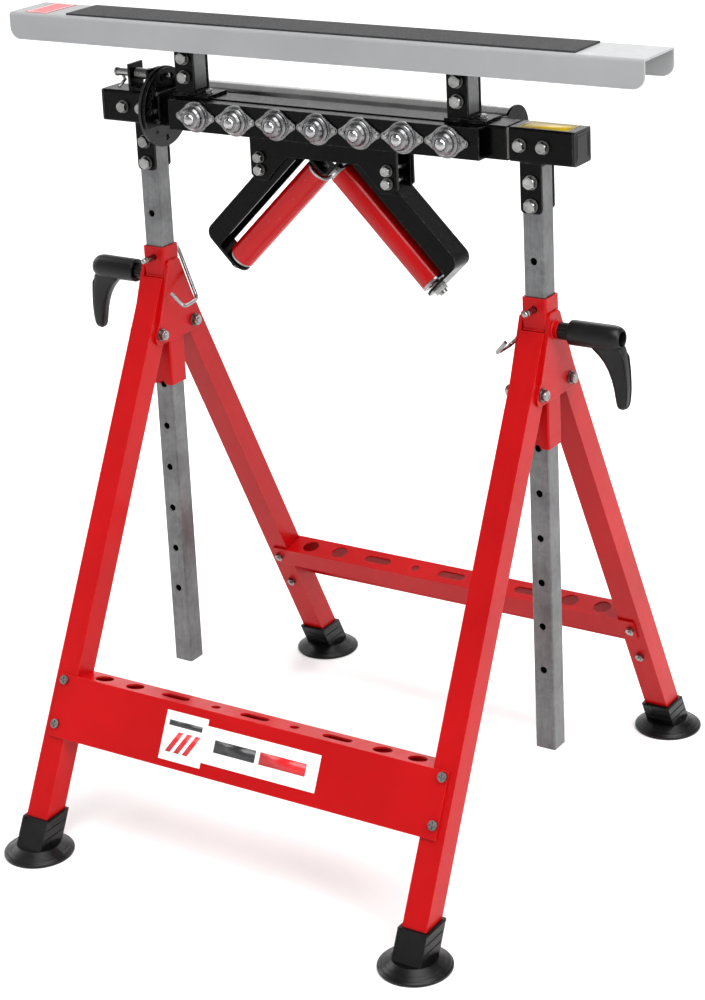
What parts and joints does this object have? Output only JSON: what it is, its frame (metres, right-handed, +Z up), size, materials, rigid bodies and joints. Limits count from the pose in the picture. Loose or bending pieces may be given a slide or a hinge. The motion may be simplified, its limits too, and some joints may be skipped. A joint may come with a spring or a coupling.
{
  "type": "multi-function work support stand",
  "caption": "Height-adjustable work support stand on two braced trestles, with a turning head that carries a flat table, ball strip, V rollers and a long roller.",
  "frame": {"origin": "on the floor, under the centre of the bounding box", "axes": "+Z up; +X along the beam towards the shorter table overhang; -Y towards the side with the ball strip"},
  "size_m": [0.838, 0.7104, 0.943],
  "materials": {
    "red_paint": "gloss powder coat",
    "black_paint": "gloss powder coat",
    "grey_paint": "satin silver-grey paint",
    "galvanised": "galvanised",
    "zinc": "bright zinc plate",
    "chrome": "polished",
    "roller_red": "gloss paint",
    "roller_steel": "bright drawn steel",
    "rubber": "satin",
    "black_plastic": "satin",
    "bush_plastic": "satin",
    "mat": "fine grain",
    "label_red": "printed film, no text",
    "label_white": "printed film, no text"
  },
  "bodies": {
    "trestles": {"feet": "rubber", "front_legs": "red_paint", "rear_legs": "red_paint", "sleeves": "red_paint", "gussets": "red_paint", "gusset_bolts": "zinc", "front_crossbar": "red_paint", "rear_crossbar": "red_paint", "crossbar_screws": "zinc", "front_label": "label_white", "sleeve_nuts": "red_paint"},
    "clamp_left": {"clamp_screw_left": "zinc"},
    "clamp_right": {"clamp_screw_right": "zinc"},
    "handle_left": {"clamp_handle_left": "black_plastic"},
    "handle_right": {"clamp_handle_right": "black_plastic"},
    "pin_left": {"lock_pin_left": "zinc"},
    "pin_right": {"lock_pin_right": "zinc"},
    "carriage": {"columns": "galvanised", "column_brackets": "black_paint", "column_bolts": "zinc", "end_tube_left": "black_paint", "end_tube_right": "black_paint", "end_caps": "black_plastic", "end_tube_bolts": "zinc", "pivot_bars": "zinc", "plunger_bracket": "black_paint", "plunger_spring": "zinc"},
    "plunger": {"plunger": "zinc"},
    "head": {"main_tube": "black_paint", "pivot_bushes": "bush_plastic", "end_plate": "black_paint", "index_disc": "black_paint", "disc_screws": "zinc", "ball_channel": "black_paint", "ball_cups": "chrome", "ball_screws": "zinc", "post_brackets": "black_paint", "posts": "galvanised", "post_bolts": "zinc", "table": "grey_paint", "table_mat": "mat", "table_label": "label_red", "table_screws": "zinc", "v_bracket": "black_paint", "v_arms": "black_paint", "v_bolts": "zinc", "v_axles": "zinc", "roller_plates": "black_paint", "roller_axle": "zinc"},
    "v_left": {"v_roller_left": "roller_red"},
    "v_right": {"v_roller_right": "roller_red"},
    "long_roller": {"long_roller": "roller_steel"},
    "ball_1": {"ball_1": "chrome"},
    "ball_2": {"ball_2": "chrome"},
    "ball_3": {"ball_3": "chrome"},
    "ball_4": {"ball_4": "chrome"},
    "ball_5": {"ball_5": "chrome"},
    "ball_6": {"ball_6": "chrome"},
    "ball_7": {"ball_7": "chrome"}
  },
  "joints": [
    {"name": "height_slide", "type": "slide", "parent": "trestles", "child": "carriage", "axis": [0, 0, 1], "range_m": [-0.054, 0.27]},
    {"name": "head_turn", "type": "hinge", "parent": "carriage", "child": "head", "pos_m": [0.0145, 0, 0.834], "axis": [1, 0, 0], "range_deg": [-90, 90]},
    {"name": "plunger_pull", "type": "slide", "parent": "carriage", "child": "plunger", "axis": [-1, 0, 0], "range_m": [0, 0.013], "stiffness_N_per_m": 400, "springref_m": -0.004, "deforming": ["plunger_spring"]},
    {"name": "clamp_turn_left", "type": "hinge", "parent": "trestles", "child": "clamp_left", "pos_m": [-0.294, 0, 0.625], "axis": [-1, 0, 0], "range_deg": [-90, 180]},
    {"name": "clamp_turn_right", "type": "hinge", "parent": "trestles", "child": "clamp_right", "pos_m": [0.323, 0, 0.625], "axis": [1, 0, 0], "range_deg": [-90, 180]},
    {"name": "handle_pull_left", "type": "slide", "parent": "clamp_left", "child": "handle_left", "axis": [-1, 0, 0], "range_m": [0, 0.005], "stiffness_N_per_m": 600, "springref_m": -0.003},
    {"name": "handle_pull_right", "type": "slide", "parent": "clamp_right", "child": "handle_right", "axis": [1, 0, 0], "range_m": [0, 0.005], "stiffness_N_per_m": 600, "springref_m": -0.003},
    {"name": "pin_pull_left", "type": "slide", "parent": "trestles", "child": "pin_left", "axis": [0, 1, 0], "range_m": [0, 0.08]},
    {"name": "pin_pull_right", "type": "slide", "parent": "trestles", "child": "pin_right", "axis": [0, 1, 0], "range_m": [0, 0.08]},
    {"name": "v_roller_spin_left", "type": "hinge", "parent": "head", "child": "v_left", "pos_m": [0.0085, 0, 0.793], "axis": [-0.7071, 0, -0.7071], "continuous": true},
    {"name": "v_roller_spin_right", "type": "hinge", "parent": "head", "child": "v_right", "pos_m": [0.0085, 0, 0.793], "axis": [0.7071, 0, -0.7071], "continuous": true},
    {"name": "long_roller_spin", "type": "hinge", "parent": "head", "child": "long_roller", "pos_m": [0.0145, 0.047, 0.834], "axis": [1, 0, 0], "continuous": true},
    {"name": "ball_spin_1", "type": "hinge", "parent": "head", "child": "ball_1", "pos_m": [-0.15275, -0.0455, 0.834], "axis": [1, 0, 0], "continuous": true},
    {"name": "ball_spin_2", "type": "hinge", "parent": "head", "child": "ball_2", "pos_m": [-0.097, -0.0455, 0.834], "axis": [1, 0, 0], "continuous": true},
    {"name": "ball_spin_3", "type": "hinge", "parent": "head", "child": "ball_3", "pos_m": [-0.04125, -0.0455, 0.834], "axis": [1, 0, 0], "continuous": true},
    {"name": "ball_spin_4", "type": "hinge", "parent": "head", "child": "ball_4", "pos_m": [0.0145, -0.0455, 0.834], "axis": [1, 0, 0], "continuous": true},
    {"name": "ball_spin_5", "type": "hinge", "parent": "head", "child": "ball_5", "pos_m": [0.07025, -0.0455, 0.834], "axis": [1, 0, 0], "continuous": true},
    {"name": "ball_spin_6", "type": "hinge", "parent": "head", "child": "ball_6", "pos_m": [0.126, -0.0455, 0.834], "axis": [1, 0, 0], "continuous": true},
    {"name": "ball_spin_7", "type": "hinge", "parent": "head", "child": "ball_7", "pos_m": [0.18175, -0.0455, 0.834], "axis": [1, 0, 0], "continuous": true}
  ]
}
